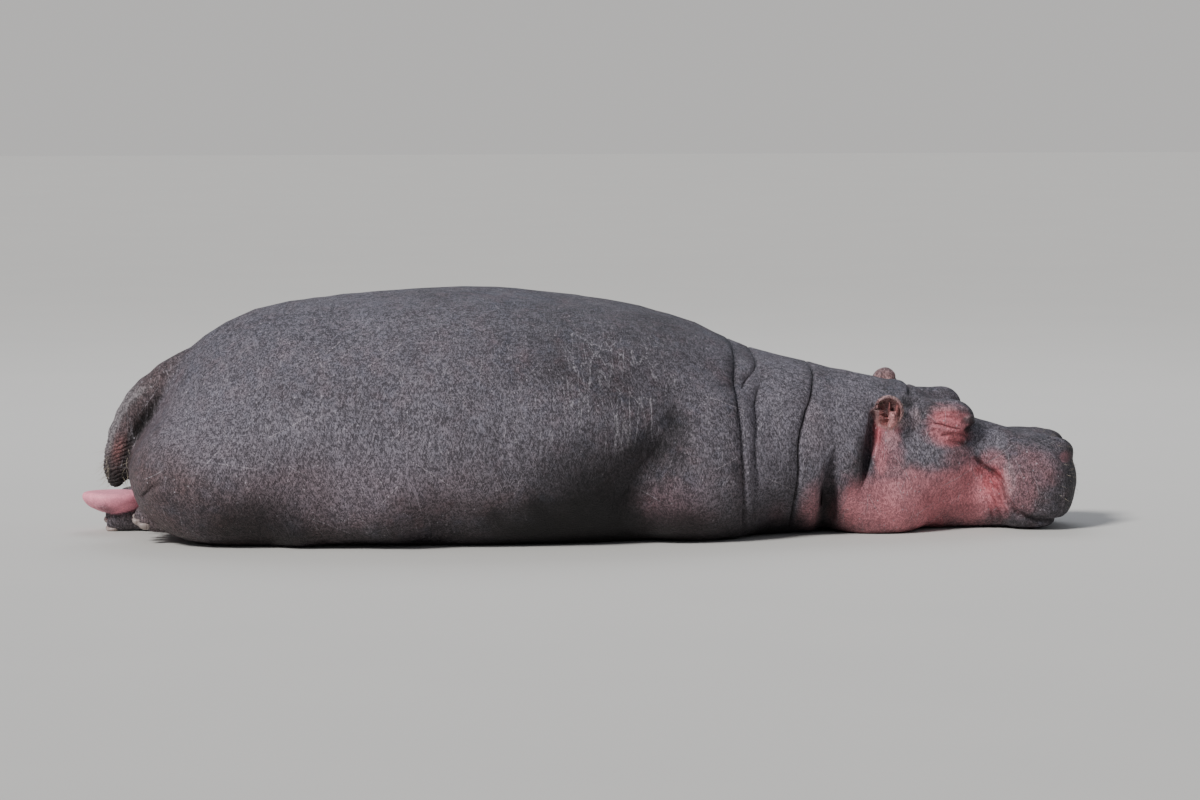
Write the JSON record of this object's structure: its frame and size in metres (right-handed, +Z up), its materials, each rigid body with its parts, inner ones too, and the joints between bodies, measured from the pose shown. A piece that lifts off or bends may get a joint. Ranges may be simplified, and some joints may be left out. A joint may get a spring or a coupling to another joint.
{
  "type": "hippopotamus",
  "caption": "Life-size still figure of a hippopotamus asleep on its belly, head flat on the floor, legs folded beside and behind it.",
  "frame": {"origin": "on the floor under the middle of the belly, on the flat that the belly rests on", "axes": "+X from the rump towards the nose, +Y towards the animal's left, +Z up"},
  "size_m": [3.4965, 1.2909, 0.8593],
  "materials": {
    "hide": "bare, finely wrinkled dark mauve-grey skin with a faint dry sheen",
    "soft_hide": "thin pink skin, as inside the ears",
    "nail": "dull grey-brown horn",
    "bristle": "stiff pale hair on the muzzle, the ears and the tail's tip"
  },
  "bodies": {
    "root": {"trunk": "hide", "neck": "hide", "head": "hide", "lower_jaw": "hide", "tail": "hide", "ear_left": "soft_hide", "ear_right": "soft_hide", "eyelid_left": "hide", "eyelid_right": "hide", "foreleg_left": "hide", "foreleg_right": "hide", "hindleg_left": "hide", "hindleg_right": "hide", "forefoot_left": "hide", "forefoot_right": "hide", "hindfoot_left": "hide", "hindfoot_right": "hide", "nail_forefoot_left_1": "nail", "nail_forefoot_left_2": "nail", "nail_forefoot_left_3": "nail", "nail_forefoot_left_4": "nail", "nail_forefoot_right_1": "nail", "nail_forefoot_right_2": "nail", "nail_forefoot_right_3": "nail", "nail_forefoot_right_4": "nail", "nail_hindfoot_left_1": "nail", "nail_hindfoot_left_2": "nail", "nail_hindfoot_left_3": "nail", "nail_hindfoot_left_4": "nail", "nail_hindfoot_right_1": "nail", "nail_hindfoot_right_2": "nail", "nail_hindfoot_right_3": "nail", "nail_hindfoot_right_4": "nail"}
  },
  "joints": []
}
